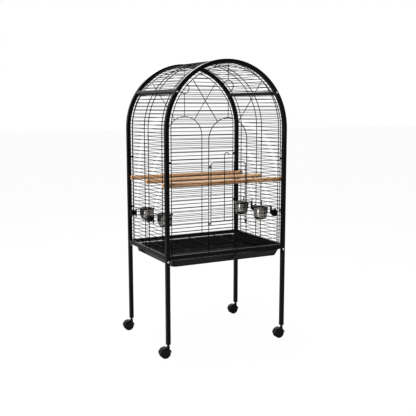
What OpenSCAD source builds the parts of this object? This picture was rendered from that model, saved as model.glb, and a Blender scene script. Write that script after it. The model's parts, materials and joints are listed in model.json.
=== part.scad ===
// Bird cage with a barrel-vaulted top on a wheeled stand.
// The origin is on the floor, under the centre of the whole object's box.
// X runs across the front, Y runs to the back and Z points up.

/* [Frame] */
// Width over the outside of the posts
frame_w = 660; // [600:5:720]
// Depth over the outside of the posts
frame_d = 493; // [470:1:540]
// Height where the posts end and the arches begin
spring_z = 1071; // [1050:1:1150]
// Side of the square frame tube
tube = 19; // [18:0.5:20]
// Wall of the square tubes
wall = 1.2; // [1:0.1:1.2]
// Outside corner radius of the square tubes
tube_corner = 2.5; // [2:0.1:3]
// Angle of the shoulder tubes above the spring line
shoulder_angle = 33.3; // [31:0.1:36]

/* [Stand] */
// Side of the square sleeve that joins each leg to its post
leg = 16; // [15:0.1:16]
// Height of the lower end of the legs
leg_z = 67; // [66:1:75]
// Height of the lower end of the posts
post_z = 452; // [448:1:456]
// Height of the bolts that hold the legs in the posts
bolt_z = 464; // [462:1:466]
// Height of the top of the base rails
rail_z = 490; // [488:1:492]
// Radius of a caster wheel
wheel_r = 25; // [24:0.5:25]
// Distance from a caster's stem to its axle
trail = 18; // [16:1:20]

/* [Wire panels] */
// Distance between the horizontal wires of the front and rear panels
bar_pitch = 18.7; // [18:0.1:19.5]
// Distance between the rods of the side and roof panels
rod_pitch = 18.4; // [18:0.1:19]
// Radius of the horizontal wires and rods
thin_r = 1.25; // [1:0.05:1.4]
// Radius of the outline and upright wires
thick_r = 1.75; // [1.5:0.05:2]
// Gap between the front and rear outline wires and the tubes
outline_gap = 13; // [11:1:15]
// Distance from the middle of a side panel to its inner pair of uprights
pair_y = 24; // [20:1:28]
// Distance from the middle of a side panel to its outer uprights
upright_y = 185; // [183:1:187]
// Distance from the middle of a side panel to its end wires
end_y = 217; // [215:1:219]

/* [Doorway and door] */
// Half of the width of the doorway, to the middle of its wires
doorway_x = 103.5; // [98:0.5:110]
// Height where the doorway wires begin to arch
doorway_spring_z = 1024; // [1020:1:1028]
// Half of the width of the door, to the middle of its side wires
door_x = 94.5; // [91:0.5:96]
// Number of wire gaps between the door's bottom and top wires
door_gaps = 15; // [12:1:15]

/* [Fittings] */
// Diameter of a perch
perch_d = 22; // [20:1:24]
// How far the perches reach to the left of the cage's middle
perch_left = 324; // [322:0.5:335]
// How far the perches reach to the right of the cage's middle
perch_right = 337; // [325:0.5:340]
// Distance of the front and rear perches from the middle
perch_y = 201; // [200:1:202]
// Outside radius of a cup's wall
cup_r = 33.5; // [31:0.5:33.5]
// Depth of a cup under its rim
cup_depth = 64; // [55:1:68]
// Height of the tray
tray_h = 33.5; // [28:0.5:36]

/* [Hidden] */
$fn = 48;

black = [0.06, 0.06, 0.065];
steel = [0.72, 0.71, 0.69];
zinc = [0.78, 0.77, 0.74];
timber = [0.8, 0.6, 0.44];
plastic = [0.09, 0.09, 0.095];

cx = (frame_w - tube) / 2;
cy = (frame_d - tube) / 2;
inner_x = cx - tube / 2;
inner_y = cy - tube / 2;
rail_c = rail_z - tube / 2;
slit = 0.3;

axle_x = cx + trail;
axle_r = 3;
axle_len = 30;
wheel_w = 10.5;
web = 7;
hood_r = wheel_r + 3;
stem_r = 4.7;

// The casters trail to the left, so the cage stands a little right of the origin.
box_left = axle_x + hood_r;
box_right = max(perch_right, cx - trail + hood_r);
shift_x = (box_left - box_right) / 2;

weld = 0.6;
layer = thin_r + thick_r - weld;
outline_x = inner_x - outline_gap;
door_bottom_z = rail_z + 146.5;
door_top_z = door_bottom_z + door_gaps * bar_pitch;
first_bar_z = door_bottom_z - 7 * bar_pitch;
bar_count = floor((spring_z + outline_x - 12 - first_bar_z) / bar_pitch) + 1;
first_rod_z = rail_z + 15;
lower_rods = floor((spring_z + cx * (shoulder_angle - 2.6) * PI / 180 - first_rod_z) / rod_pitch) + 1;
reach = (tube / 2 + slit) / cx * 180 / PI;
roof_from = shoulder_angle + 2.6;
roof_to = 90 - 2.6;
roof_rods = floor((roof_to - roof_from) * PI / 180 * cx / rod_pitch) + 1;
roof_step = (roof_to - roof_from) / (roof_rods - 1);
uprights = [-end_y, -upright_y, -pair_y, pair_y, upright_y, end_y];

door_y = -cy - 2 * thick_r - 0.8;
guide_r = thick_r + slit;
guide_wall = 1.3;

perch_z = first_rod_z + 17 * rod_pitch;
perch_kerf = 2 * thin_r + 0.7;
kerf_x = cx - 9;
rod_x = cx - layer;

cup_x = cx - 80.5;
rim_r = 37.5;
stud_r = 3;
ring_h = 4;
bolt_z_cups = first_rod_z + 7.26 * rod_pitch;
holder_back_x = cx - 15;
nut_x = cx + thick_r + slit;
nut_w = 10;
nut_r = 20;

left_drop = 18;
right_drop = 36.4;
left_cup_z = bolt_z_cups + left_drop;
right_cup_z = bolt_z_cups + right_drop;

tray_top_z = rail_z - tube - 3.5;
tray_x = 296;
tray_front = cy + 12;
tray_back = inner_y - 5.5;
lip_x = 306.5;
lip_h = 3;
front_lean = 21;
flange_z = tray_top_z - lip_h - slit;
ledge_z = rail_z - 12;
grate_z = ledge_z + thick_r + 0.1;

module place() {
  translate([shift_x, 0, 0])
    children();
}

module rounded_square(w, r) {
  square([w, w - 2 * r], center = true);
  square([w - 2 * r, w], center = true);
  for (sx = [-1, 1])
    for (sy = [-1, 1])
      translate([sx * (w / 2 - r), sy * (w / 2 - r)])
        circle(r);
}

module tube_profile(w, r) {
  difference() {
    rounded_square(w, r);
    rounded_square(w - 2 * wall, r - wall);
  }
}

module tube_along_y(length, w) {
  translate([0, length / 2, 0])
    rotate([90, 0, 0])
      linear_extrude(length)
        tube_profile(w, tube_corner);
}

module tube_along_x(length, w) {
  translate([-length / 2, 0, 0])
    rotate([0, 90, 0])
      linear_extrude(length)
        tube_profile(w, tube_corner);
}

module wire(p, q, r) {
  d = q - p;
  length = norm(d);
  translate(p)
    rotate([0, acos(d[2] / length), atan2(d[1], d[0])])
      cylinder(h = length, r = r);
}

// An arc in the XZ plane about the Y axis, with angles from +X towards +Z.
module wire_arc(radius, r, from, to) {
  rotate([90, 0, 0])
    rotate([0, 0, from])
      rotate_extrude(angle = to - from, $fn = 120)
        translate([radius, 0])
          circle(r, $fn = 32);
}

module hole_y(x, z, r, length) {
  translate([x, length / 2, z])
    rotate([90, 0, 0])
      cylinder(h = length, r = r);
}

module disc_y(y0, y1, r) {
  translate([0, y1, 0])
    rotate([90, 0, 0])
      cylinder(h = y1 - y0, r = r);
}

module disc_x(x0, x1, r) {
  translate([x0, 0, 0])
    rotate([0, 90, 0])
      cylinder(h = x1 - x0, r = r);
}

// Where the shoulder tubes are screwed to the arches, as [x, z]. The ridge tube is welded.
function on_arch(angle) = [cx * cos(angle), spring_z + cx * sin(angle)];
cross_points = [on_arch(shoulder_angle), on_arch(180 - shoulder_angle)];

module arch() {
  color(black)
    difference() {
      union() {
        for (s = [-1, 1])
          translate([s * cx, 0, post_z])
            linear_extrude(spring_z - post_z)
              tube_profile(tube, tube_corner);
        translate([0, 0, spring_z])
          rotate([90, 0, 0])
            rotate_extrude(angle = 180, $fn = 180)
              translate([cx, 0])
                tube_profile(tube, tube_corner);
      }
      for (s = [-1, 1])
        hole_y(s * cx, bolt_z, 3.1, 2 * tube);
      for (p = cross_points)
        hole_y(p[0], p[1], 2.6, 2 * tube);
    }
}

module cross_tube(angle, bored) {
  p = on_arch(angle);
  color(black)
    translate([p[0], 0, p[1]])
      rotate([0, 90 - angle, 0])
        difference() {
          union() {
            tube_along_y(2 * inner_y, tube);
            for (s = [-1, 1])
              translate([0, s * (inner_y - 2), 0])
                cube([tube - 2 * wall + 0.4, 4, tube - 2 * wall + 0.4], center = true);
          }
          if (bored)
            hole_y(0, 0, 2.45, 3 * inner_y);
        }
}

module front_arch() {
  place()
    translate([0, -cy, 0])
      arch();
}

module rear_arch() {
  place()
    translate([0, cy, 0])
      arch();
}

module ridge_tube() {
  place()
    cross_tube(90, false);
}

module left_shoulder_tube() {
  place()
    cross_tube(180 - shoulder_angle, true);
}

module right_shoulder_tube() {
  place()
    cross_tube(shoulder_angle, true);
}

module front_rail() {
  place()
    color(black)
      translate([0, -cy, rail_c])
        tube_along_x(2 * inner_x, tube);
}

module rear_rail() {
  place()
    color(black)
      translate([0, cy, rail_c])
        tube_along_x(2 * inner_x, tube);
}

module left_rail() {
  place()
    color(black)
      translate([-cx, 0, rail_c])
        tube_along_y(2 * inner_y, tube);
}

module right_rail() {
  place()
    color(black)
      translate([cx, 0, rail_c])
        tube_along_y(2 * inner_y, tube);
}

// A leg butts against its post, with a sleeve inside that reaches up into it.
module leg_at(sx, sy) {
  place()
    color(black)
      difference() {
        translate([sx * cx, sy * cy, 0]) {
          translate([0, 0, leg_z])
            linear_extrude(post_z - leg_z)
              tube_profile(tube, tube_corner);
          translate([0, 0, post_z - 18])
            linear_extrude(17)
              difference() {
                rounded_square(tube - 2 * wall + 0.4, 1.5);
                rounded_square(leg - 1.5, 1);
              }
          translate([0, 0, post_z - 20])
            linear_extrude(bolt_z + 56 - post_z + 20)
              tube_profile(leg, 2);
        }
        translate([0, sy * cy, 0])
          hole_y(sx * cx, bolt_z, 3.1, 2 * leg);
      }
}

module front_left_leg() {
  leg_at(-1, -1);
}

module front_right_leg() {
  leg_at(1, -1);
}

module rear_left_leg() {
  leg_at(-1, 1);
}

module rear_right_leg() {
  leg_at(1, 1);
}

// A plug closes each leg and holds the caster's stem.
module leg_plug() {
  difference() {
    union() {
      translate([0, 0, leg_z - 5])
        cylinder(h = 2.5, r1 = 7, r2 = 9);
      translate([0, 0, leg_z - 2.5])
        linear_extrude(2.5)
          rounded_square(tube, tube_corner);
      translate([0, 0, leg_z])
        linear_extrude(34)
          rounded_square(tube - 2 * wall - 0.2, 1.2);
    }
    translate([0, 0, leg_z - 6])
      cylinder(h = 36, r = stem_r + 0.05);
  }
}

module leg_plugs() {
  place()
    color(plastic)
      for (sx = [-1, 1])
        for (sy = [-1, 1])
          translate([sx * cx, sy * cy, 0])
            leg_plug();
}

// A domed bolt from outside through post and leg, with its nut on the far side.
module leg_bolt() {
  translate([0, -tube / 2, 0]) {
    intersection() {
      translate([0, 3.5, 0])
        sphere(r = 7);
      disc_y(-3.5, 0, 5.8);
    }
    disc_y(-0.5, tube + 4.5, 3);
    disc_y(tube + 0.05, tube + 4.5, 5);
  }
}

module leg_bolts() {
  place()
    color(zinc)
      for (sx = [-1, 1])
        for (sy = [-1, 1])
          translate([sx * cx, sy * cy, bolt_z])
            rotate([0, 0, sy < 0 ? 0 : 180])
              leg_bolt();
}

module cross_tube_screws() {
  place()
    color(zinc)
      for (p = cross_points)
        for (s = [-1, 1])
          translate([p[0], s * (cy + tube / 2), p[1]])
            rotate([0, 0, s < 0 ? 0 : 180]) {
              intersection() {
                translate([0, 3, 0])
                  sphere(r = 6);
                disc_y(-3, 0, 4.8);
              }
              disc_y(-0.5, tube + 3.9, 2.4);
            }
}

// Small tabs between the panels' outline wires and the frame, and three upright tabs
// on the rods of the right side panel.
module panel_clips() {
  place()
    color(plastic) {
      for (s = [-1, 1])
        for (t = [-1, 1])
          for (z = [665, 924])
            translate([s * (inner_x + outline_x - thick_r) / 2, t * (cy - 1), z])
              cube([inner_x - outline_x + thick_r, 6, 9], center = true);
      for (s = [-1, 1])
        for (t = [-1, 1])
          for (z = [640, 950])
            translate([s * cx, t * (inner_y + end_y - thick_r) / 2, z + first_rod_z - 496])
              cube([6, inner_y - end_y + thick_r, 9], center = true);
      for (angle = [60, 120])
        for (t = [-1, 1])
          translate([0, t * (inner_y + end_y - thick_r) / 2, spring_z])
            rotate([0, -angle, 0])
              translate([cx, 0, 0])
                cube([6, inner_y - end_y + thick_r, 9], center = true);
      for (y = [-36, 62, 149])
        translate([rod_x - 1.2, y - 1.75, right_cup_z - 19])
          cube([3, 3.5, 32]);
    }
}

// A twin-wheel caster: stem, boss, web between the wheels and a hood over them.
module caster_at(sx, sy) {
  place()
    color(plastic)
      translate([sx * cx, sy * cy, 0]) {
        difference() {
          union() {
            translate([0, 0, 44])
              cylinder(h = 14, r = 7);
            translate([-trail, 0, wheel_r])
              intersection() {
                difference() {
                  disc_y(-axle_len / 2, axle_len / 2, hood_r);
                  disc_y(-axle_len, axle_len, hood_r - 2);
                }
                translate([-hood_r, -axle_len, 4])
                  cube([2 * hood_r, 2 * axle_len, hood_r]);
              }
            translate([-trail, 0, wheel_r])
              disc_y(-web / 2, web / 2, wheel_r - 1.5);
            translate([-trail / 2, 0, 40])
              cube([trail + 6, web, 20], center = true);
          }
          translate([-trail, 0, wheel_r])
            disc_y(-axle_len, axle_len, axle_r + 0.02);
          for (s = [-1, 1])
            translate([-trail, s * (web / 2 + 0.2 + axle_len / 2), wheel_r])
              disc_y(-axle_len / 2, axle_len / 2, wheel_r + 0.6);
        }
        translate([0, 0, 57])
          cylinder(h = leg_z - 57 + 28, r = stem_r);
      }
}

module front_left_caster() {
  caster_at(-1, -1);
}

module front_right_caster() {
  caster_at(1, -1);
}

module rear_left_caster() {
  caster_at(-1, 1);
}

module rear_right_caster() {
  caster_at(1, 1);
}

module axle_at(sx, sy) {
  place()
    color(steel)
      translate([sx * cx - trail, sy * cy, wheel_r])
        disc_y(-axle_len / 2 + 0.8, axle_len / 2 - 0.8, axle_r);
}

module front_left_axle() {
  axle_at(-1, -1);
}

module front_right_axle() {
  axle_at(1, -1);
}

module rear_left_axle() {
  axle_at(-1, 1);
}

module rear_right_axle() {
  axle_at(1, 1);
}

// The side is -1 for the wheel nearer the front and 1 for the other.
module wheel_at(sx, sy, side) {
  y0 = web / 2 + 0.5;
  place()
    color(plastic)
      translate([sx * cx - trail, sy * cy, wheel_r])
        rotate([0, 0, side < 0 ? 180 : 0])
          difference() {
            disc_y(y0, y0 + wheel_w, wheel_r);
            disc_y(y0 + wheel_w - 1.5, y0 + wheel_w + 1, wheel_r - 4);
            disc_y(0, axle_len, axle_r + 0.05);
          }
}

module front_left_outer_wheel() {
  wheel_at(-1, -1, -1);
}

module front_left_inner_wheel() {
  wheel_at(-1, -1, 1);
}

module front_right_outer_wheel() {
  wheel_at(1, -1, -1);
}

module front_right_inner_wheel() {
  wheel_at(1, -1, 1);
}

module rear_left_outer_wheel() {
  wheel_at(-1, 1, 1);
}

module rear_left_inner_wheel() {
  wheel_at(-1, 1, -1);
}

module rear_right_outer_wheel() {
  wheel_at(1, 1, 1);
}

module rear_right_inner_wheel() {
  wheel_at(1, 1, -1);
}

function half_width(z) = z < spring_z ? outline_x : sqrt(pow(outline_x, 2) - pow(z - spring_z, 2));

// The end panel: its thick wires lie outside and its horizontal wires inside.
module end_panel(open_doorway) {
  apex = doorway_spring_z + doorway_x;
  circle_z = first_bar_z + 41 * bar_pitch + 3.5;
  circle_r = 27;
  ray = 56.4;
  ray_len = sqrt(pow(outline_x, 2) - pow((spring_z - doorway_spring_z) * cos(ray), 2))
    + (spring_z - doorway_spring_z) * sin(ray);
  color(black) {
    for (s = [-1, 1]) {
      wire([s * outline_x, 0, rail_z + slit], [s * outline_x, 0, spring_z], thick_r);
      wire([s * doorway_x, 0, rail_z + slit], [s * doorway_x, 0, doorway_spring_z], thick_r);
      wire(
        [s * doorway_x * cos(ray), 0, doorway_spring_z + doorway_x * sin(ray)],
        [s * ray_len * cos(ray), 0, doorway_spring_z + ray_len * sin(ray)],
        1.5
      );
    }
    translate([0, 0, spring_z])
      wire_arc(outline_x, thick_r, 0, 180);
    translate([0, 0, doorway_spring_z])
      wire_arc(doorway_x, thick_r, 0, 180);
    translate([0, 0, circle_z])
      rotate([90, 0, 0])
        rotate_extrude()
          translate([circle_r, 0])
            circle(thick_r, $fn = 32);
    wire([0, 0, apex], [0, 0, circle_z - circle_r], 1.4);
    wire([0, 0, circle_z + circle_r], [0, 0, spring_z + inner_x - slit], 1.4);
    for (i = [0 : bar_count - 1]) {
      z = first_bar_z + i * bar_pitch;
      w = half_width(z);
      if (open_doorway && z > door_bottom_z - 1 && z < door_top_z + 1)
        for (s = [-1, 1])
          wire([s * w, layer, z], [s * (doorway_x - 0.5), layer, z], thin_r);
      else
        wire([-w, layer, z], [w, layer, z], thin_r);
    }
  }
}

module front_panel() {
  place()
    translate([0, -cy, 0])
      end_panel(true);
}

module rear_panel() {
  place()
    translate([0, cy, 0])
      rotate([0, 0, 180])
        end_panel(false);
}

function rod_point(i) = let(rise = first_rod_z + i * rod_pitch - spring_z)
  rise < 0 ? [rod_x, spring_z + rise]
  : [rod_x * cos(rise / cx * 180 / PI), spring_z + rod_x * sin(rise / cx * 180 / PI)];

// The side panel: rods from front to back inside, uprights outside, bent under the shoulder tube.
module side_panel() {
  color(black) {
    for (y = uprights) {
      wire([cx, y, rail_z + slit], [cx, y, spring_z], thick_r);
      translate([0, y, spring_z])
        wire_arc(cx, thick_r, 0, shoulder_angle - reach);
    }
    for (i = [0 : lower_rods - 1]) {
      p = rod_point(i);
      wire([p[0], -end_y - 1.5, p[1]], [p[0], end_y + 1.5, p[1]], thin_r);
    }
  }
}

module right_panel() {
  place()
    side_panel();
}

module left_panel() {
  place()
    rotate([0, 0, 180])
      side_panel();
}

module roof_panel() {
  color(black) {
    for (y = uprights)
      translate([0, y, spring_z])
        wire_arc(cx, thick_r, shoulder_angle + reach, 90 - reach);
    for (i = [0 : roof_rods - 1]) {
      a = roof_from + i * roof_step;
      x = rod_x * cos(a);
      z = spring_z + rod_x * sin(a);
      wire([x, -end_y - 1.5, z], [x, end_y + 1.5, z], thin_r);
    }
  }
}

module right_roof_panel() {
  place()
    roof_panel();
}

module left_roof_panel() {
  place()
    rotate([0, 0, 180])
      roof_panel();
}

// An open sleeve about the Z axis. The gap is centred on the given angle.
module open_sleeve(h, gap_angle, gap) {
  rotate([0, 0, gap_angle + gap / 2])
    rotate_extrude(angle = 360 - gap, $fn = 48)
      translate([guide_r, 0])
        square([guide_wall, h]);
}

module door() {
  corner = 12;
  top = door_top_z;
  front = door_y - layer;
  guide_z = door_bottom_z - bar_pitch + thin_r + slit;
  guide_h = bar_pitch - 4;
  rod_dx = -21;
  hook_r = 12;
  place()
    color(black) {
      for (s = [-1, 1]) {
        wire([s * door_x, door_y, guide_z], [s * door_x, door_y, top - corner], thick_r);
        translate([s * doorway_x, -cy, guide_z])
          open_sleeve(guide_h, s > 0 ? 60 : 120, 115);
        translate([s * (door_x + doorway_x) / 2, (door_y - cy - guide_r - 0.6) / 2, guide_z + guide_h / 2])
          cube([doorway_x - door_x + 2, 1.9, 5], center = true);
      }
      for (s = [0, 1])
        translate([(s == 0 ? 1 : -1) * (door_x - corner), door_y, top - corner])
          wire_arc(corner, thick_r, s * 90, s * 90 + 90);
      wire([-door_x + corner, door_y, top], [door_x - corner, door_y, top], thick_r);
      wire([-door_x, door_y, door_bottom_z], [door_x, door_y, door_bottom_z], thick_r);
      for (i = [1 : door_gaps - 1])
        wire(
          [-door_x - 1, front, door_bottom_z + i * bar_pitch],
          [door_x + 1, front, door_bottom_z + i * bar_pitch],
          thin_r
        );
      wire([32, door_y, door_bottom_z], [32, door_y, top], 1.5);
      wire([rod_dx, door_y, door_bottom_z], [rod_dx, door_y, top + 35], 1.5);
      translate([rod_dx + hook_r, door_y, top + 35])
        wire_arc(hook_r, 1.6, 0, 183);
    }
}

// A fixed guide on the doorway wire that steadies the door's left side.
module door_guide() {
  z0 = door_top_z - 24;
  place()
    color(black) {
      translate([-door_x, door_y, z0])
        rotate([0, 0, -5])
          rotate_extrude(angle = 205, $fn = 48)
            translate([guide_r, 0])
              square([guide_wall, 10]);
      translate([-doorway_x + thick_r + 0.05, -cy - 2.4, z0 + 2])
        cube([doorway_x - door_x - guide_r - 1, 2.4, 6]);
      translate([-doorway_x, -cy, z0])
        difference() {
          cylinder(h = 10, r = thick_r + 1.1);
          translate([0, 0, -1])
            cylinder(h = 12, r = thick_r + 0.02);
          translate([-10, 0.6, -1])
            cube([20, 10, 12]);
        }
    }
}

module perch_at(y) {
  place()
    color(timber)
      translate([0, y, perch_z])
        difference() {
          disc_x(-perch_left, perch_right, perch_d / 2);
          for (s = [-1, 1])
            translate([s * (kerf_x + 20), 0, 0])
              cube([40, perch_d + 2, perch_kerf], center = true);
        }
}

module front_perch() {
  perch_at(-perch_y);
}

module middle_perch() {
  perch_at(0);
}

module rear_perch() {
  perch_at(perch_y);
}

module cup_outline(r, depth, corner) {
  translate([0, corner - depth])
    square([r, depth - corner]);
  translate([0, -depth])
    square([r - corner, corner]);
  translate([r - corner, corner - depth])
    circle(corner, $fn = 64);
}

// Each place is the side, -1 on the left and 1 on the right, then Y, the height of the
// cup's rim and how far the bolt is below the rim.
function cup_place(k) = [
  [-1, -35, left_cup_z, left_drop],
  [-1, 191, left_cup_z, left_drop],
  [1, -150, right_cup_z, right_drop],
  [1, 41, right_cup_z, right_drop]
][k];

module at_cup(k) {
  p = cup_place(k);
  place()
    translate([0, p[1], p[2]])
      rotate([0, 0, p[0] > 0 ? 0 : 180])
        children();
}

module cup(k) {
  at_cup(k)
    color(steel)
      translate([cup_x, 0, 0])
        rotate_extrude($fn = 96)
          difference() {
            union() {
              cup_outline(cup_r, cup_depth, 18);
              square([rim_r, 1.4]);
            }
            translate([0, 1.5])
              cup_outline(cup_r - 0.9, cup_depth + 0.6, 17.1);
            translate([-100, -100])
              square([100, 200]);
          }
}

module left_front_cup() {
  cup(0);
}

module left_rear_cup() {
  cup(1);
}

module right_front_cup() {
  cup(2);
}

module right_rear_cup() {
  cup(3);
}

// The holder: a ring under the cup's rim, a strap beside the cup, an arm to a back plate,
// a neck, a pad on the rods and a stud.
module cup_holder(k) {
  at_cup(k)
    color(plastic) {
      translate([cup_x, 0, -ring_h - 0.1])
        difference() {
          cylinder(h = ring_h, r = rim_r + 1, $fn = 96);
          translate([0, 0, -1])
            cylinder(h = ring_h + 2, r = cup_r + 0.5, $fn = 96);
        }
      translate([holder_back_x - 3.4, -7, -42])
        cube([3.4, 14, 39.6]);
      translate([cup_x + rim_r - 1, -6.5, -3.8])
        cube([holder_back_x - cup_x - rim_r - 1, 13, 3]);
      translate([cup_x + rim_r - 0.7, -6, -36])
        cube([3.2, 12, 34]);
      translate([cup_x + cup_r + 0.8, -6, -36])
        cube([5, 12, 3]);
      translate([0, 0, -cup_place(k)[3]]) {
        disc_x(holder_back_x - 2, rod_x - thin_r - slit - 2, 5);
        disc_x(rod_x - thin_r - slit - 3, rod_x - thin_r - slit, 16);
        disc_x(rod_x - thin_r - slit - 1, nut_x + nut_w + 1.5, stud_r);
      }
    }
}

module left_front_cup_holder() {
  cup_holder(0);
}

module left_rear_cup_holder() {
  cup_holder(1);
}

module right_front_cup_holder() {
  cup_holder(2);
}

module right_rear_cup_holder() {
  cup_holder(3);
}

module hand_nut(k) {
  at_cup(k)
    color(plastic)
      translate([0, 0, -cup_place(k)[3]])
        difference() {
          union() {
            disc_x(nut_x, nut_x + 4.5, 8);
            disc_x(nut_x + 4, nut_x + nut_w - 1.5, nut_r);
            disc_x(nut_x + 4, nut_x + nut_w, nut_r - 7);
          }
          disc_x(0, nut_x + 2 * nut_w, stud_r + 0.05);
          for (a = [0 : 30 : 330])
            rotate([a, 0, 0])
              translate([0, 0, nut_r + 1])
                disc_x(nut_x - 1, nut_x + nut_w + 1, 2.5);
        }
}

module left_front_hand_nut() {
  hand_nut(0);
}

module left_rear_hand_nut() {
  hand_nut(1);
}

module right_front_hand_nut() {
  hand_nut(2);
}

module right_rear_hand_nut() {
  hand_nut(3);
}

module floor_grate() {
  gx = inner_x - 6;
  gy = inner_y - 6;
  corner = 12;
  count = floor((2 * gy - 10) / 19);
  step = 2 * gy / count;
  place()
    color(black)
      translate([0, 0, grate_z]) {
        for (s = [-1, 1]) {
          wire([-gx + corner, s * gy, 0], [gx - corner, s * gy, 0], thick_r);
          wire([s * gx, -gy + corner, 0], [s * gx, gy - corner, 0], thick_r);
        }
        for (k = [0 : 3])
          rotate([0, 0, 90 * k])
            translate(k % 2 == 0 ? [gx - corner, gy - corner, 0] : [gy - corner, gx - corner, 0])
              rotate_extrude(angle = 90)
                translate([corner, 0])
                  circle(thick_r, $fn = 32);
        for (x = [-150, 0, 150])
          wire([x, -gy, 0], [x, gy, 0], thick_r);
        for (i = [1 : count - 1])
          wire([-gx - 1, -gy + i * step, layer], [gx + 1, -gy + i * step, layer], thin_r);
      }
}

module tray_solid(grow, z0, z1) {
  corner = 22;
  y0 = -tray_front - grow + corner;
  y1 = tray_back + grow - corner;
  hull() {
    for (sx = [-1, 1]) {
      for (y = [y0, y1])
        translate([sx * (tray_x + grow - corner), y, z1 - 1])
          cylinder(h = 1, r = corner, $fn = 32);
      for (y = [y0 + front_lean, y1 - 3])
        translate([sx * (tray_x + grow - corner - 6), y, z0])
          cylinder(h = 1, r = corner, $fn = 32);
    }
  }
}

// A moulded tray with a lip on each side that slides on the runners, and a finger grip in front.
module tray() {
  bottom = tray_top_z - tray_h;
  grip_r = 40;
  grip_z = tray_top_z - 4;
  grip_y = 13 - tray_front;
  place()
    color(plastic)
      difference() {
        union() {
          difference() {
            union() {
              tray_solid(0, bottom, tray_top_z);
              for (s = [-1, 1])
                translate([s * (tray_x - 6 + lip_x) / 2, 0, tray_top_z - lip_h / 2])
                  cube([lip_x - tray_x + 6, 2 * (tray_back - 22), lip_h], center = true);
            }
            tray_solid(-2.4, bottom + 2.4, tray_top_z + 1);
          }
          intersection() {
            translate([0, grip_y, grip_z + 18])
              disc_y(-13, 4.4, grip_r + 3);
            translate([-60, grip_y - 11, bottom + 1])
              cube([120, 20, tray_h - 3]);
            tray_solid(-0.5, bottom, tray_top_z);
          }
        }
        intersection() {
          translate([0, grip_y, grip_z + 18])
            disc_y(-20, 2, grip_r);
          translate([-60, -tray_front - 20, bottom + 5])
            cube([120, 60, grip_z - bottom - 5]);
        }
      }
}

// A runner under each side rail: an upper ledge for the grate and a lower flange for the tray.
module runner() {
  y = 2 * inner_y - 1;
  color(black) {
    translate([inner_x - 1.5, -y / 2, flange_z - 2])
      cube([1.5, y, ledge_z - flange_z + 2]);
    translate([inner_x - 12, -y / 2, ledge_z - 2])
      cube([11, y, 2]);
    translate([tray_x + 3.5, -y / 2, flange_z - 2])
      cube([inner_x - tray_x - 4.5, y, 2]);
  }
}

module right_runner() {
  place()
    runner();
}

module left_runner() {
  place()
    rotate([0, 0, 180])
      runner();
}

front_arch();
rear_arch();
ridge_tube();
left_shoulder_tube();
right_shoulder_tube();
front_rail();
rear_rail();
left_rail();
right_rail();
front_left_leg();
front_right_leg();
rear_left_leg();
rear_right_leg();
leg_plugs();
leg_bolts();
cross_tube_screws();
panel_clips();
front_left_caster();
front_right_caster();
rear_left_caster();
rear_right_caster();
front_left_axle();
front_right_axle();
rear_left_axle();
rear_right_axle();
front_left_outer_wheel();
front_left_inner_wheel();
front_right_outer_wheel();
front_right_inner_wheel();
rear_left_outer_wheel();
rear_left_inner_wheel();
rear_right_outer_wheel();
rear_right_inner_wheel();
front_panel();
rear_panel();
left_panel();
right_panel();
left_roof_panel();
right_roof_panel();
door();
door_guide();
front_perch();
middle_perch();
rear_perch();
left_front_cup();
left_rear_cup();
right_front_cup();
right_rear_cup();
left_front_cup_holder();
left_rear_cup_holder();
right_front_cup_holder();
right_rear_cup_holder();
left_front_hand_nut();
left_rear_hand_nut();
right_front_hand_nut();
right_rear_hand_nut();
floor_grate();
tray();
left_runner();
right_runner();
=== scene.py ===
import bpy
import bmesh
import json
import math
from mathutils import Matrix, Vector


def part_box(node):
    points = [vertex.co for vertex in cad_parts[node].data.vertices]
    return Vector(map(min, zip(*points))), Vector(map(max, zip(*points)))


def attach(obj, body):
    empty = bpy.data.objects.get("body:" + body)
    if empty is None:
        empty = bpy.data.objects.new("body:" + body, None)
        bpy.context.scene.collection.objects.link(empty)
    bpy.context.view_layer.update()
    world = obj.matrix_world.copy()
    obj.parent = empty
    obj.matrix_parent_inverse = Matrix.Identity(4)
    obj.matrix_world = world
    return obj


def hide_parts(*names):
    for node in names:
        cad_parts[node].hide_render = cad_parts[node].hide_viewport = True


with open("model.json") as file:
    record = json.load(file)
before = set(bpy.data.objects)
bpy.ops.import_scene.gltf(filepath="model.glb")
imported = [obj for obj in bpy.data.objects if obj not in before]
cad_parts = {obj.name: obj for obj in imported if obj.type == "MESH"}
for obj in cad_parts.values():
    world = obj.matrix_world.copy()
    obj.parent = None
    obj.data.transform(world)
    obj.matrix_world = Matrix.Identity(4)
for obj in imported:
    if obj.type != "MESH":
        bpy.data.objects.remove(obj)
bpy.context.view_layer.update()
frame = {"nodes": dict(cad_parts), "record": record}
nodes = frame["nodes"]
record = frame["record"]
scene = bpy.context.scene


MM = 0.001
WHITE = (1.0, 1.0, 1.0, 1.0)


# ---------------------------------------------------------------- camera and light

# The camera, as solved from the frame's proportions in a 416-pixel frame.
FRAME_PX = 416.0
FOCAL_PX = 684.0
SENSOR_MM = 36.0
CAMERA_FROM_CENTRE = (-1.602, -3.082)
CAMERA_HEIGHT = 1.1786
CAMERA_TILT = 8.41
CAMERA_TURN = -27.71

arch_lo, arch_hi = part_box("front_arch")
back_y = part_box("rear_arch")[1][1]
mid_x = (arch_lo[0] + arch_hi[0]) / 2
mid_y = (arch_lo[1] + back_y) / 2

cam_data = bpy.data.cameras.new("camera")
cam = bpy.data.objects.new("camera", cam_data)
scene.collection.objects.link(cam)
cam_data.sensor_width = SENSOR_MM
cam_data.lens = FOCAL_PX / FRAME_PX * SENSOR_MM
cam_data.clip_end = 60.0
cam.location = (mid_x + CAMERA_FROM_CENTRE[0], mid_y + CAMERA_FROM_CENTRE[1], CAMERA_HEIGHT)
cam.rotation_euler = (math.radians(90.0 - CAMERA_TILT), 0.0, math.radians(CAMERA_TURN))
scene.camera = cam


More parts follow.
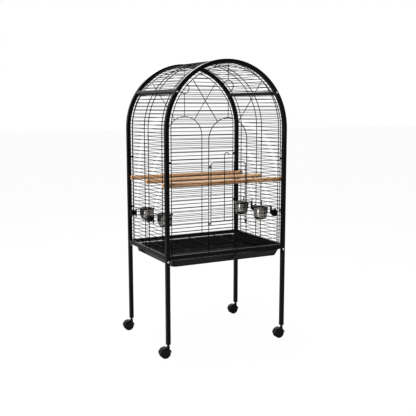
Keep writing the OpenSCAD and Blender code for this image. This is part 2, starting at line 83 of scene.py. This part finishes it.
def add_node(tree, kind, **inputs):
    """A new shader node with its inputs set by name."""
    n = tree.nodes.new("ShaderNode" + kind)
    for key, value in inputs.items():
        n.inputs[key.replace("_", " ")].default_value = value
    return n


world = bpy.data.worlds.new("world")
scene.world = world
world.use_nodes = True
tree = world.node_tree
lit = tree.nodes["Background"]
lit.inputs["Color"].default_value = WHITE
# The backdrop behind the object is bright and the side it is seen from is dim.
around = add_node(tree, "TexCoord")
split = add_node(tree, "SeparateXYZ")
fall = add_node(tree, "MapRange", From_Min=-0.2, From_Max=0.8, To_Min=0.16, To_Max=0.9)
seen = add_node(tree, "Background", Color=WHITE, Strength=1.0)
path = add_node(tree, "LightPath")
pick = add_node(tree, "MixShader")
tree.links.new(around.outputs["Generated"], split.inputs["Vector"])
tree.links.new(split.outputs["Y"], fall.inputs["Value"])
tree.links.new(fall.outputs["Result"], lit.inputs["Strength"])
tree.links.new(path.outputs["Is Camera Ray"], pick.inputs["Fac"])
tree.links.new(lit.outputs["Background"], pick.inputs[1])
tree.links.new(seen.outputs["Background"], pick.inputs[2])
tree.links.new(pick.outputs["Shader"], tree.nodes["World Output"].inputs["Surface"])
scene.view_settings.view_transform = "Standard"
scene.view_settings.gamma = 0.8


def area_light(name, place, target, size, power, height=None):
    """A disk light, or a rectangle when it has a height, aimed at target."""
    data = bpy.data.lights.new(name, "AREA")
    data.shape = "RECTANGLE" if height else "DISK"
    data.size = size
    if height:
        data.size_y = height
    data.energy = power
    ob = bpy.data.objects.new(name, data)
    ob.location = place
    aim = Vector(target) - Vector(place)
    ob.rotation_euler = aim.to_track_quat("-Z", "Y").to_euler()
    scene.collection.objects.link(ob)


area_light("key", (-2.2, -2.6, 3.2), (0, 0, 0.8), 1.6, 90.0)
area_light("fill", (2.8, -2.2, 2.0), (0, 0, 0.7), 2.2, 20.0)
area_light("strip", (-3.2, -1.2, 1.0), (0, 0, 0.8), 0.7, 45.0, height=2.2)
area_light("rim", (0.6, 3.0, 3.0), (0, 0, 0.9), 2.0, 40.0)
area_light("top", (-0.4, 0.3, 4.2), (0, 0, 1.0), 1.6, 70.0)


# ---------------------------------------------------------------- materials

class Shader:
    """A node material with the few blocks every finish here is built from."""

    def __init__(self, name, **sockets):
        self.mat = bpy.data.materials.new(name)
        self.mat.use_nodes = True
        self.tree = self.mat.node_tree
        self.bsdf = self.tree.nodes["Principled BSDF"]
        self.coord = add_node(self.tree, "TexCoord")
        for key, value in sockets.items():
            self.bsdf.inputs[key.replace("_", " ")].default_value = value

    def link(self, a, b):
        self.tree.links.new(a, b)

    def stretched(self, scale):
        m = add_node(self.tree, "Mapping", Scale=scale)
        self.link(self.coord.outputs["Object"], m.inputs["Vector"])
        return m.outputs["Vector"]

    def noise(self, scale, detail=4.0, rough=0.6, vector=None, distortion=0.0):
        n = add_node(self.tree, "TexNoise", Scale=scale, Detail=detail, Roughness=rough,
                     Distortion=distortion)
        self.link(vector or self.coord.outputs["Object"], n.inputs["Vector"])
        return n.outputs["Fac"]

    def ramp(self, fac, stops):
        r = add_node(self.tree, "ValToRGB")
        while len(r.color_ramp.elements) < len(stops):
            r.color_ramp.elements.new(0.5)
        for e, (p, c) in zip(r.color_ramp.elements, stops):
            e.position = p
            e.color = (c[0], c[1], c[2], 1.0)
        self.link(fac, r.inputs["Fac"])
        return r.outputs["Color"]

    def multiply(self, a, b, fac):
        """Colour a darkened by colour b, by the share fac."""
        m = add_node(self.tree, "Mix")
        m.data_type = "RGBA"
        m.blend_type = "MULTIPLY"
        # Sockets 0, 6 and 7 are the factor and the two colours.
        m.inputs[0].default_value = fac
        self.link(a, m.inputs[6])
        self.link(b, m.inputs[7])
        return m.outputs[2]

    def span(self, fac, low, high):
        """Carries the middle of a noise, 0.3 to 0.7, to the range low to high."""
        m = add_node(self.tree, "MapRange", From_Min=0.3, From_Max=0.7, To_Min=low, To_Max=high)
        self.link(fac, m.inputs["Value"])
        return m.outputs["Result"]

    def bump(self, height, strength, distance):
        b = add_node(self.tree, "Bump", Strength=strength, Distance=distance)
        self.link(height, b.inputs["Height"])
        return b.outputs["Normal"]

    def color(self, socket):
        self.link(socket, self.bsdf.inputs["Base Color"])

    def rough(self, socket):
        self.link(socket, self.bsdf.inputs["Roughness"])

    def normal(self, socket):
        self.link(socket, self.bsdf.inputs["Normal"])


def powder_coat(name, dark, light, low, high, gloss):
    """Black baked paint: cloudy tone and sheen, with a fine orange peel."""
    s = Shader(name, IOR=1.5, Specular_IOR_Level=gloss)
    broad = s.noise(14.0, 5.0)
    fine = s.noise(900.0, 2.0)
    s.color(s.ramp(broad, [(0.35, dark), (0.7, light)]))
    s.rough(s.span(s.noise(45.0, 5.0), low, high))
    s.normal(s.bump(fine, 0.1, 0.0003))
    return s.mat


def plastic(name, dark, light, low, high, grain=650.0, strength=0.3, gloss=0.2):
    """Moulded plastic with an even grain."""
    s = Shader(name, IOR=1.46, Specular_IOR_Level=gloss)
    s.color(s.ramp(s.noise(22.0, 4.0), [(0.3, dark), (0.72, light)]))
    s.rough(s.span(s.noise(70.0, 4.0), low, high))
    s.normal(s.bump(s.noise(grain, 2.0), strength, 0.0004))
    return s.mat


def steel(name, color, low, high, brush, grain=0.12, metallic=1.0):
    """Bare metal with fine lines along the short side of brush."""
    s = Shader(name, Metallic=metallic)
    lines = s.noise(1.0, 4.0, 0.65, s.stretched(brush))
    s.color(s.ramp(s.noise(30.0), [(0.3, [c * 0.86 for c in color]), (0.75, color)]))
    s.rough(s.span(lines, low, high))
    s.normal(s.bump(lines, grain, 0.0003))
    return s.mat


def wood(name):
    """Sanded wood with its grain along X."""
    s = Shader(name, IOR=1.45, Specular_IOR_Level=0.3)
    rings = s.noise(1.0, 6.0, 0.6, s.stretched((3.0, 55.0, 55.0)), 0.4)
    pores = s.noise(1.0, 3.0, 0.7, s.stretched((18.0, 420.0, 420.0)))
    tone = s.ramp(rings, [(0.28, (0.50, 0.28, 0.15)), (0.5, (0.72, 0.46, 0.27)),
                          (0.74, (0.85, 0.60, 0.39))])
    flecks = s.ramp(pores, [(0.3, (0.55, 0.45, 0.38)), (0.55, (1.0, 1.0, 1.0))])
    s.color(s.multiply(tone, flecks, 0.25))
    s.rough(s.span(rings, 0.5, 0.7))
    s.normal(s.bump(pores, 0.25, 0.0005))
    return s.mat


def grey(value, blue=0.0):
    return (value, value, value + blue)


tube_coat = powder_coat("tube_coat", grey(0.0016, 0.0001), grey(0.0030, 0.0002), 0.24, 0.36, 0.28)
wire_coat = powder_coat("wire_coat", grey(0.0006, 0.0001), grey(0.0014, 0.0002), 0.28, 0.40, 0.15)
# The grate's lighter base colour is a painted sheen on a black coat.
grate_coat_painted_sheen = powder_coat("grate_coat_painted_sheen", grey(0.0075, 0.0002), grey(0.0110, 0.0002), 0.36, 0.48, 0.45)
nylon = plastic("nylon", grey(0.016), grey(0.035, -0.001), 0.30, 0.45)
tread = plastic("tread", grey(0.012), grey(0.022), 0.45, 0.62, 900.0, 0.45)
abs_black = plastic("abs_black", grey(0.0010, 0.0001), grey(0.0024, 0.0002), 0.32, 0.46)
# The tray is black plastic with its own grain; its base colour is made lighter all over, a painted
# sheen.
tray_black_painted_sheen = plastic("tray_black_painted_sheen", grey(0.0085, 0.0005), (0.0135, 0.0130, 0.0130), 0.16, 0.24,
                     500.0, 0.08, 0.42)
zinc = steel("zinc", (0.78, 0.77, 0.74), 0.22, 0.36, (300.0, 300.0, 300.0))
cup_metal = steel("cup_metal", (0.46, 0.45, 0.42), 0.08, 0.15, (60.0, 60.0, 500.0), 0.03, 0.88)
axle_metal = steel("axle_metal", (0.6, 0.59, 0.58), 0.25, 0.38, (900.0, 60.0, 900.0))
perch_wood = wood("perch_wood")

by_slot = {
    "black_tube": tube_coat,
    "black_wire": wire_coat,
    "caster_nylon": nylon,
    "axle_steel": axle_metal,
    "wheel_tread": tread,
    "plug_plastic": abs_black,
    "zinc": zinc,
    "clip_plastic": abs_black,
    "perch_wood": perch_wood,
    "cup_steel": cup_metal,
    "holder_plastic": abs_black,
    "tray_plastic": tray_black_painted_sheen,
}
for part in record["subparts"]:
    ob = nodes[part["node"]]
    ob.data.materials.clear()
    ob.data.materials.append(by_slot[part["material_slot"]])
# The grate's coat is the panels' black made lighter, a painted sheen; it is also glossier than the
# panels, though rougher.
nodes["floor_grate"].data.materials[0] = grate_coat_painted_sheen


# ---------------------------------------------------------------- mesh helpers

def mesh_object(name, verts, faces, material, smooth=35.0):
    me = bpy.data.meshes.new(name)
    me.from_pydata(verts, [], faces)
    me.validate()
    bm = bmesh.new()
    bm.from_mesh(me)
    bmesh.ops.recalc_face_normals(bm, faces=bm.faces)
    bm.to_mesh(me)
    bm.free()
    me.materials.append(material)
    ob = bpy.data.objects.new(name, me)
    scene.collection.objects.link(ob)
    me.shade_smooth()
    me.set_sharp_from_angle(angle=math.radians(smooth))
    return ob


def turned(profile, centre, axis, steps=72, lobes=0, depth=0.0, closed=False):
    """Turns a profile [(radius, along)] about an axis through centre, with lobes cut that deep."""
    unit = {"x": Vector((1, 0, 0)), "y": Vector((0, 1, 0)), "z": Vector((0, 0, 1))}
    u, v, w = [unit[a] for a in {"x": "yzx", "y": "zxy", "z": "xyz"}[axis]]
    c = Vector(centre)
    widest = max(r for r, h in profile)
    verts, faces, rings = [], [], []
    for r, h in profile:
        if r < 1e-7:
            rings.append([len(verts)])
            verts.append(c + w * h)
            continue
        ring = []
        for k in range(steps):
            a = 2 * math.pi * k / steps
            rr = r
            if lobes:
                rr -= depth * max(0.0, math.cos(lobes * a)) ** 2 * min(1.0, (r / widest) ** 8)
            ring.append(len(verts))
            verts.append(c + u * (rr * math.cos(a)) + v * (rr * math.sin(a)) + w * h)
        rings.append(ring)
    pairs = list(zip(rings, rings[1:]))
    if closed:
        pairs.append((rings[-1], rings[0]))
    for a, b in pairs:
        if len(a) == 1 and len(b) == 1:
            continue
        for k in range(steps):
            n = (k + 1) % steps
            if len(a) == 1:
                faces.append((a[0], b[k], b[n]))
            elif len(b) == 1:
                faces.append((a[k], b[0], a[n]))
            else:
                faces.append((a[k], b[k], b[n], a[n]))
    return verts, faces


def neighbours(points, i):
    """A point of a closed outline, between the one before it and the one after it."""
    return Vector(points[i - 1]), Vector(points[i]), Vector(points[(i + 1) % len(points)])


def rounded_loop(points, radius, steps=5):
    """Rounds the corners of a closed polyline [(a, b)]."""
    out = []
    for i in range(len(points)):
        p, q, t = neighbours(points, i)
        d1, d2 = (p - q), (t - q)
        r = min(radius, d1.length * 0.49, d2.length * 0.49)
        if r <= 1e-7:
            out.append((q.x, q.y))
            continue
        a, b = q + d1.normalized() * r, q + d2.normalized() * r
        for k in range(steps + 1):
            f = k / steps
            m = a * (1 - f) ** 2 + q * 2 * f * (1 - f) + b * f ** 2
            out.append((m.x, m.y))
    return out


# The two axes of the plane across an axis, and that axis itself.
ACROSS = {"x": (1, 2, 0), "y": (0, 2, 1)}


def signed_area(outline):
    return sum(a[0] * b[1] - b[0] * a[1] for a, b in zip(outline, outline[1:] + outline[:1])) / 2


def outward(outline, i, mid, flip):
    """The unit direction that leads out of an outline at its point i."""
    p, q, t = neighbours(outline, i)
    d1, d2 = (q - p), (t - q)
    n1, n2 = Vector((d1.y, -d1.x)), Vector((d2.y, -d2.x))
    u1 = n1.normalized() if n1.length > 1e-9 else n2.normalized()
    u2 = n2.normalized() if n2.length > 1e-9 else n1.normalized()
    nn = u1 + u2
    if nn.length < 1e-6:
        nn = q - mid
    nn.normalize()
    return -nn if flip else nn


def prism(outline, low, high, axis, bevel, steps=3):
    """A plate with its outline [(a, b)] in the plane across axis and rounded edges."""
    order = ACROSS[axis]
    n = len(outline)
    mid = Vector((sum(p[0] for p in outline) / n, sum(p[1] for p in outline) / n))
    flip = signed_area(outline) < 0
    rings = []
    for k in range(steps + 1):
        a = math.pi / 2 * k / steps
        rings.append((bevel * (1 - math.sin(a)), low + bevel * (1 - math.cos(a))))
    rings += [(i, low + high - h) for i, h in reversed(rings)]
    verts, faces = [], []
    for inset, h in rings:
        for i in range(n):
            s = Vector(outline[i]) - outward(outline, i, mid, flip) * inset
            co = [0, 0, 0]
            co[order[0]], co[order[1]], co[order[2]] = s.x, s.y, h
            verts.append(co)
    m = len(rings)
    for j in range(m - 1):
        for i in range(n):
            k = (i + 1) % n
            faces.append((j * n + i, j * n + k, (j + 1) * n + k, (j + 1) * n + i))
    faces.append(tuple(range(n)))
    faces.append(tuple((m - 1) * n + i for i in range(n)))
    return verts, faces


def joined(name, parts, material, smooth=35.0):
    verts, faces = [], []
    for v, f in parts:
        base = len(verts)
        verts += [tuple(p) for p in v]
        faces += [tuple(i + base for i in face) for face in f]
    return mesh_object(name, verts, faces, material, smooth)


def centre_of(node):
    lo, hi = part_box(node)
    return [(a + b) / 2 for a, b in zip(lo, hi)], lo, hi


def arc(centre, radius, start, end, steps):
    """Points (a, b) of a circle from one angle to another, in radians."""
    turns = [start + (end - start) * k / steps for k in range(steps + 1)]
    return [(centre[0] + radius * math.cos(a), centre[1] + radius * math.sin(a)) for a in turns]


def mirrored(profile, side):
    """The profile [(radius, along)] with its length turned to side, 1 or -1."""
    return [(r, h * side) for r, h in profile]


def in_mm(points):
    return [(a * MM, b * MM) for a, b in points]


# ---------------------------------------------------------------- casters

STEM_OFFSET = 18 * MM
HOOD_HALF_WIDTH = 15 * MM
HOOD_WALL = 2 * MM
HOOD_GAP = 3 * MM
HOOD_LOW, HOOD_HIGH = math.radians(9), math.radians(171)


def wheel_profile(r, w):
    """A wheel's half section in mm: bore, closed hub cap, tyre with a shallow groove."""
    e = 1.6
    return (
        [(0, w - 0.15), (3.05, w - 0.15), (3.05, -w), (9, -w)]
        + arc((r - e, e - w), e, -math.pi / 2, 0, 6)
        + [(r, -0.8), (r - 0.35, -0.4), (r - 0.35, 0.4), (r, 0.8)]
        + arc((r - e, w - e), e, 0, math.pi / 2, 6)
        + [(r - 3.6, w), (r - 4.2, w - 0.3), (r - 4.5, w - 1.3)]
        + [(10.6, w - 1.3), (10.1, w - 1.1), (9.6, w - 0.5), (8.8, w - 0.2)]
        + [(5, w + 0.05), (2, w + 0.2), (0, w + 0.25)]
    )


def hood_parts(ax, ay, az):
    """A hood over both wheels, a web between them, a neck with its stem, and a rib."""
    r = az + HOOD_GAP
    y0, y1 = ay - HOOD_HALF_WIDTH, ay + HOOD_HALF_WIDTH
    shell = arc((ax, az), r, HOOD_LOW, HOOD_HIGH, 40)
    shell += arc((ax, az), r - HOOD_WALL, HOOD_HIGH, HOOD_LOW, 40)
    parts = [prism(shell, y0, y1, "y", 0.7 * MM)]
    # The hood's lower edges turn outwards, hardly at all on the side away from the stem.
    for out, tip in ((-1, 0.6), (1, 3.0)):
        edge_x = ax + out * r * math.cos(HOOD_LOW)
        lip = [(-2, 8.5), (0, 8.5), (tip, 3), (tip, 1), (-1.8, 3.5)]
        lip = [(edge_x + out * a * MM, az + b * MM) for a, b in lip]
        parts.append(prism(rounded_loop(lip, 0.8 * MM, 3), y0, y1, "y", 0.6 * MM))
    web = arc((ax, az), 23.5 * MM, 0, 2 * math.pi, 72)[:-1]
    parts.append(prism(web, ay - 3.5 * MM, ay + 3.5 * MM, "y", 0.6 * MM))
    stem_x = ax + STEM_OFFSET
    bevel = [math.sin(k * math.pi / 12) for k in range(7)]
    neck = [(0, 40), (6.4, 40), (7, 43), (7, 56.2)]
    neck += [(7 - 1.8 * t, 56.2 + 1.8 * t) for t in bevel]
    neck += [(4.7, 58.2), (4.7, 94), (0, 94)]
    parts.append(turned(in_mm(neck), (stem_x, ay, 0), "z", 48))
    rib = [(stem_x + 1 * MM, 30 * MM), (stem_x + 6.5 * MM, 44 * MM), (stem_x + 4 * MM, 53 * MM),
           (ax + 2 * MM, az + r - 1 * MM), (ax - 4 * MM, az + r - 2 * MM), (ax - 6 * MM, 30 * MM)]
    parts.append(prism(rounded_loop(rib, 3 * MM), ay - 3.4 * MM, ay + 3.4 * MM, "y", 0.8 * MM))
    return parts


for corner in ("front_left", "front_right", "rear_left", "rear_right"):
    body = corner + "_caster_swivel"
    (ax, ay, az), axle_lo, axle_hi = centre_of(corner + "_axle")
    for side in ("outer", "inner"):
        node = "%s_%s_wheel" % (corner, side)
        centre, lo, hi = centre_of(node)
        out = 1 if centre[1] > ay else -1
        section = in_mm(wheel_profile((hi[2] - lo[2]) / 2 / MM, (hi[1] - lo[1]) / 2 / MM))
        verts, faces = turned(mirrored(section, out), centre, "y", 96)
        wheel = mesh_object(node + "_round", verts, faces, tread)
        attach(wheel, node)
        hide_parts(node)

    housing = joined(corner + "_caster_hood", hood_parts(ax, ay, az), nylon)
    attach(housing, body)
    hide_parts(corner + "_caster")

    half = (axle_hi[1] - axle_lo[1]) / 2
    radius = (axle_hi[2] - axle_lo[2]) / 2
    turns = [math.pi / 2 * k / 5 for k in range(6)]
    pin = [(radius * math.sin(a), -half + 0.8 * MM * (1 - math.cos(a))) for a in turns]
    pin += [(r, -h) for r, h in reversed(pin)]
    verts, faces = turned(pin, (ax, ay, az), "y", 40)
    rod = mesh_object(corner + "_axle_pin", verts, faces, axle_metal)
    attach(rod, body)
    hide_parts(corner + "_axle")


# ---------------------------------------------------------------- cups and their holders

# Distances from the cage's middle: the centre of a post, and a holder's clamp plate and pad.
POST_X = 320.5 * MM
PLATE_X = 303.8 * MM
PAD_X = POST_X - 3.95 * MM
PLATE_HALF = 1.7 * MM
CUP_RIM_RISE = 1.4 * MM


def cup_profile(rim, depth):
    """A cup's full section with its rolled rim, from the ring's top face down."""
    wall, corner, sheet, bead = 33.5 * MM, 18 * MM, 0.9 * MM, 0.95 * MM
    outer = [(0, -depth), (wall - corner - 6 * MM, -depth)]
    outer += arc((wall - corner, corner - depth), corner, -math.pi / 2, 0, 12)
    outer += [(wall, -12 * MM), (wall, -2.0 * MM), (wall + 0.4 * MM, -0.5 * MM)]
    outer += [(wall + 1.4 * MM, 0.1 * MM)]
    outer += arc((rim - bead, bead + 0.05 * MM), bead, -math.pi / 2, math.pi / 2, 10)
    inner = [(rim - 2.4 * MM, 1.35 * MM), (wall + 1.2 * MM, 1.05 * MM)]
    inner += [(wall - sheet + 0.2 * MM, 0.2 * MM), (wall - sheet, -1.8 * MM), (wall - sheet, -12 * MM)]
    inner += arc((wall - corner, corner - depth), corner - sheet, 0, -math.pi / 2, 12)
    inner.append((0, sheet - depth))
    return outer + inner


def box_bar(lo, hi, bevel):
    """A rounded bar between two corners, with its section across X."""
    outline = [(lo[1], lo[2]), (hi[1], lo[2]), (hi[1], hi[2]), (lo[1], hi[2])]
    return prism(rounded_loop(outline, bevel * 1.5, 3), lo[0], hi[0], "x", bevel)


def holder_parts(cup, z0, bolt, end_x, side):
    """A ring round the cup, a bent strap, an arm, a clamp plate and pad, and a threaded stud."""
    ux, uy = cup
    qy, bolt_z = bolt
    ring = in_mm([(34.0, -4.1), (38.5, -4.1), (38.5, -0.1), (34.0, -0.1)])
    parts = [turned(rounded_loop(ring, 1.2 * MM, 5), (ux, uy, z0), "z", 96, closed=True)]
    plate_x = mid_x + side * PLATE_X
    low, high = z0 - 42 * MM, z0 - 2.4 * MM
    plate = [(qy - 7 * MM, low), (qy + 7 * MM, low), (qy + 7 * MM, high), (qy - 7 * MM, high)]
    parts.append(prism(rounded_loop(plate, 4 * MM), plate_x - PLATE_HALF, plate_x + PLATE_HALF, "x",
                       0.8 * MM))
    a0, a1 = sorted((ux + side * 36 * MM, plate_x))
    parts.append(box_bar((a0, qy - 6.5 * MM, z0 - 4.0 * MM), (a1, qy + 6.5 * MM, z0 - 0.8 * MM),
                         0.8 * MM))
    # The strap beside the cup: its lower end bends in under the ring's inner edge.
    strap = [(36.8, -2.0), (40.0, -2.0), (40.0, -34.0), (37.5, -36.2), (34.4, -36.2),
             (34.4, -33.2), (36.8, -32.4)]
    strap = [(ux + side * a * MM, z0 + b * MM) for a, b in strap]
    parts.append(prism(rounded_loop(strap, 1.2 * MM), qy - 6 * MM, qy + 6 * MM, "y", 0.6 * MM))
    pad_x = mid_x + side * PAD_X
    reach = abs(pad_x - plate_x) / MM
    neck = [(0, 0), (7, 0), (7, 1), (5.2, 3), (5, reach - 6), (6, reach - 4.2), (14.8, reach - 3)]
    neck += [(16, reach - 2.2), (16, reach - 0.5), (15.5, reach), (0, reach)]
    parts.append(turned(mirrored(in_mm(neck), side), (plate_x, qy, bolt_z), "x", 48))
    length = abs(end_x - pad_x) / MM
    stud = [(0, -1), (3, -1)]
    for k in range(int(length - 1)):
        stud += [(2.98, k), (2.7, k + 0.5)]
    stud += [(2.6, length - 0.6), (2.1, length), (0, length)]
    parts.append(turned(mirrored(in_mm(stud), side), (pad_x, qy, bolt_z), "x", 32))
    return parts


def knob_profile(w):
    """A hand nut's section in mm: boss, lobed rim and raised cap round the stud's bore."""
    return [(3.05, 0), (7.5, 0), (8, 0.5), (8, 3.6), (8.6, 4.1),
            (17.5, 4.1), (19.4, 4.5), (20, 5.2), (20, w - 3.0),
            (19.3, w - 2.0), (17.5, w - 1.6), (14, w - 1.5), (12.8, w - 1.0),
            (12.2, w - 0.3), (11.3, w), (4.2, w), (3.3, w - 0.5), (3.05, w - 1.2)]


for place in ("left_front", "left_rear", "right_front", "right_rear"):
    side = 1 if place.startswith("right") else -1
    (ux, uy, _), lo, hi = centre_of(place + "_cup")
    z0 = hi[2] - CUP_RIM_RISE
    verts, faces = turned(cup_profile((hi[0] - lo[0]) / 2, z0 - lo[2]), (ux, uy, z0), "z", 96)
    bowl = mesh_object(place + "_cup_bowl", verts, faces, cup_metal, 50.0)
    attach(bowl, place + "_cup")
    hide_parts(place + "_cup")

    (_, ny, nz), nut_lo, nut_hi = centre_of(place + "_hand_nut")
    (_, qy, _), lo, hi = centre_of(place + "_cup_holder")
    end_x = hi[0] if side > 0 else lo[0]
    parts = holder_parts((ux, uy), z0, (qy, nz), end_x, side)
    holder = joined(place + "_cup_bracket", parts, abs_black)
    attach(holder, "cage")
    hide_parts(place + "_cup_holder")

    inside = nut_lo[0] if side > 0 else nut_hi[0]
    knob = mirrored(in_mm(knob_profile((nut_hi[0] - nut_lo[0]) / MM)), side)
    verts, faces = turned(knob, (inside, ny, nz), "x", 144, lobes=6, depth=1.5 * MM, closed=True)
    nut = mesh_object(place + "_knob", verts, faces, abs_black)
    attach(nut, place + "_hand_nut")
    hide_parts(place + "_hand_nut")


# ---------------------------------------------------------------- bolts and screws

def dome(centre, out, radius, height, flat):
    """A domed head that stands out along Y, with a washer under it and a socket in it."""
    rise = 0.55 * MM
    profile = [(0, 0.0), (flat, 0.0), (flat, 0.5 * MM), (radius, rise)]
    for k in range(1, 9):
        a = math.pi / 2 * k / 8
        r = radius * math.cos(a) * 0.62 + radius * 0.38 * (1 - (k / 8) ** 3)
        profile.append((r, rise + (height - rise) * math.sin(a)))
    profile += [(radius * 0.33, height), (radius * 0.30, height - 0.3 * MM)]
    profile += [(radius * 0.28, height - 1.3 * MM), (0, height - 1.4 * MM)]
    return turned(mirrored(profile, out), centre, "y", 36)


def hexagon(centre, out, across, height):
    x, y, z = centre
    outline = arc((x, z), across / math.sqrt(3), 0, 2 * math.pi, 6)[:-1]
    a, b = sorted((y, y + out * height))
    return prism(rounded_loop(outline, 0.5 * MM, 2), a, b, "y", 0.4 * MM)


def shank(x, y0, y1, z, r):
    a, b = sorted((y0, y1))
    c = 0.3 * MM
    profile = [(0, a), (r - c, a), (r, a + c), (r, b - c), (r - c, b), (0, b)]
    return turned(profile, (x, 0, z), "y", 24)


TUBE = 19 * MM
SEAT = 0.5 * MM
_, bolt_lo, bolt_hi = centre_of("leg_bolts")
bolt_z = (bolt_lo[2] + bolt_hi[2]) / 2
face = {-1: arch_lo[1], 1: back_y}
parts = []
for sx in (-1, 1):
    for sy in (-1, 1):
        x, y = mid_x + sx * POST_X, face[sy]
        parts.append(dome((x, y, bolt_z), sy, 5.0 * MM, 3.5 * MM, 5.8 * MM))
        parts.append(shank(x, y + sy * SEAT, y - sy * (TUBE + 4.4 * MM), bolt_z, 3.0 * MM))
        parts.append(hexagon((x, y - sy * (TUBE + 0.1 * MM), bolt_z), -sy, 9.2 * MM, 4.0 * MM))
bolts = joined("leg_bolt_set", parts, zinc)
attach(bolts, "cage")
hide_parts("leg_bolts")

parts = []
for tube_name in ("left_shoulder_tube", "right_shoulder_tube"):
    x, _, z = centre_of(tube_name)[0]
    for sy in (-1, 1):
        y = face[sy]
        parts.append(dome((x, y, z), sy, 4.2 * MM, 3.0 * MM, 4.8 * MM))
        parts.append(shank(x, y + sy * SEAT, y - sy * (TUBE + 3.8 * MM), z, 2.4 * MM))
screws = joined("cross_tube_screw_set", parts, zinc)
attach(screws, "cage")
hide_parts("cross_tube_screws")


# ---------------------------------------------------------------- edges of the CAD parts that stay

for name in ("tray", "panel_clips", "left_runner", "right_runner"):
    mod = nodes[name].modifiers.new("edge_round", "BEVEL")
    mod.width = 0.7 * MM
    mod.segments = 2
    mod.limit_method = "ANGLE"
    mod.angle_limit = math.radians(40.0)
    mod.harden_normals = False


# ---------------------------------------------------------------- floor

bpy.ops.mesh.primitive_plane_add(size=60.0, location=(0, 0, 0))
floor = bpy.context.object
floor.name = "floor"
s = Shader("floor_white", Roughness=0.9, Specular_IOR_Level=0.1)
s.color(s.ramp(s.noise(3.0), [(0.3, grey(0.58)), (0.7, grey(0.60))]))
# Seen directly the floor is an even studio white, with only a trace of shadow.
ray = add_node(s.tree, "LightPath")
share = add_node(s.tree, "MapRange", To_Max=0.93)
white = add_node(s.tree, "Emission", Strength=1.03)
both = add_node(s.tree, "MixShader")
s.link(ray.outputs["Is Camera Ray"], share.inputs["Value"])
s.link(share.outputs["Result"], both.inputs["Fac"])
s.link(s.bsdf.outputs["BSDF"], both.inputs[1])
s.link(white.outputs["Emission"], both.inputs[2])
s.link(both.outputs["Shader"], s.tree.nodes["Material Output"].inputs["Surface"])
floor.data.materials.append(s.mat)
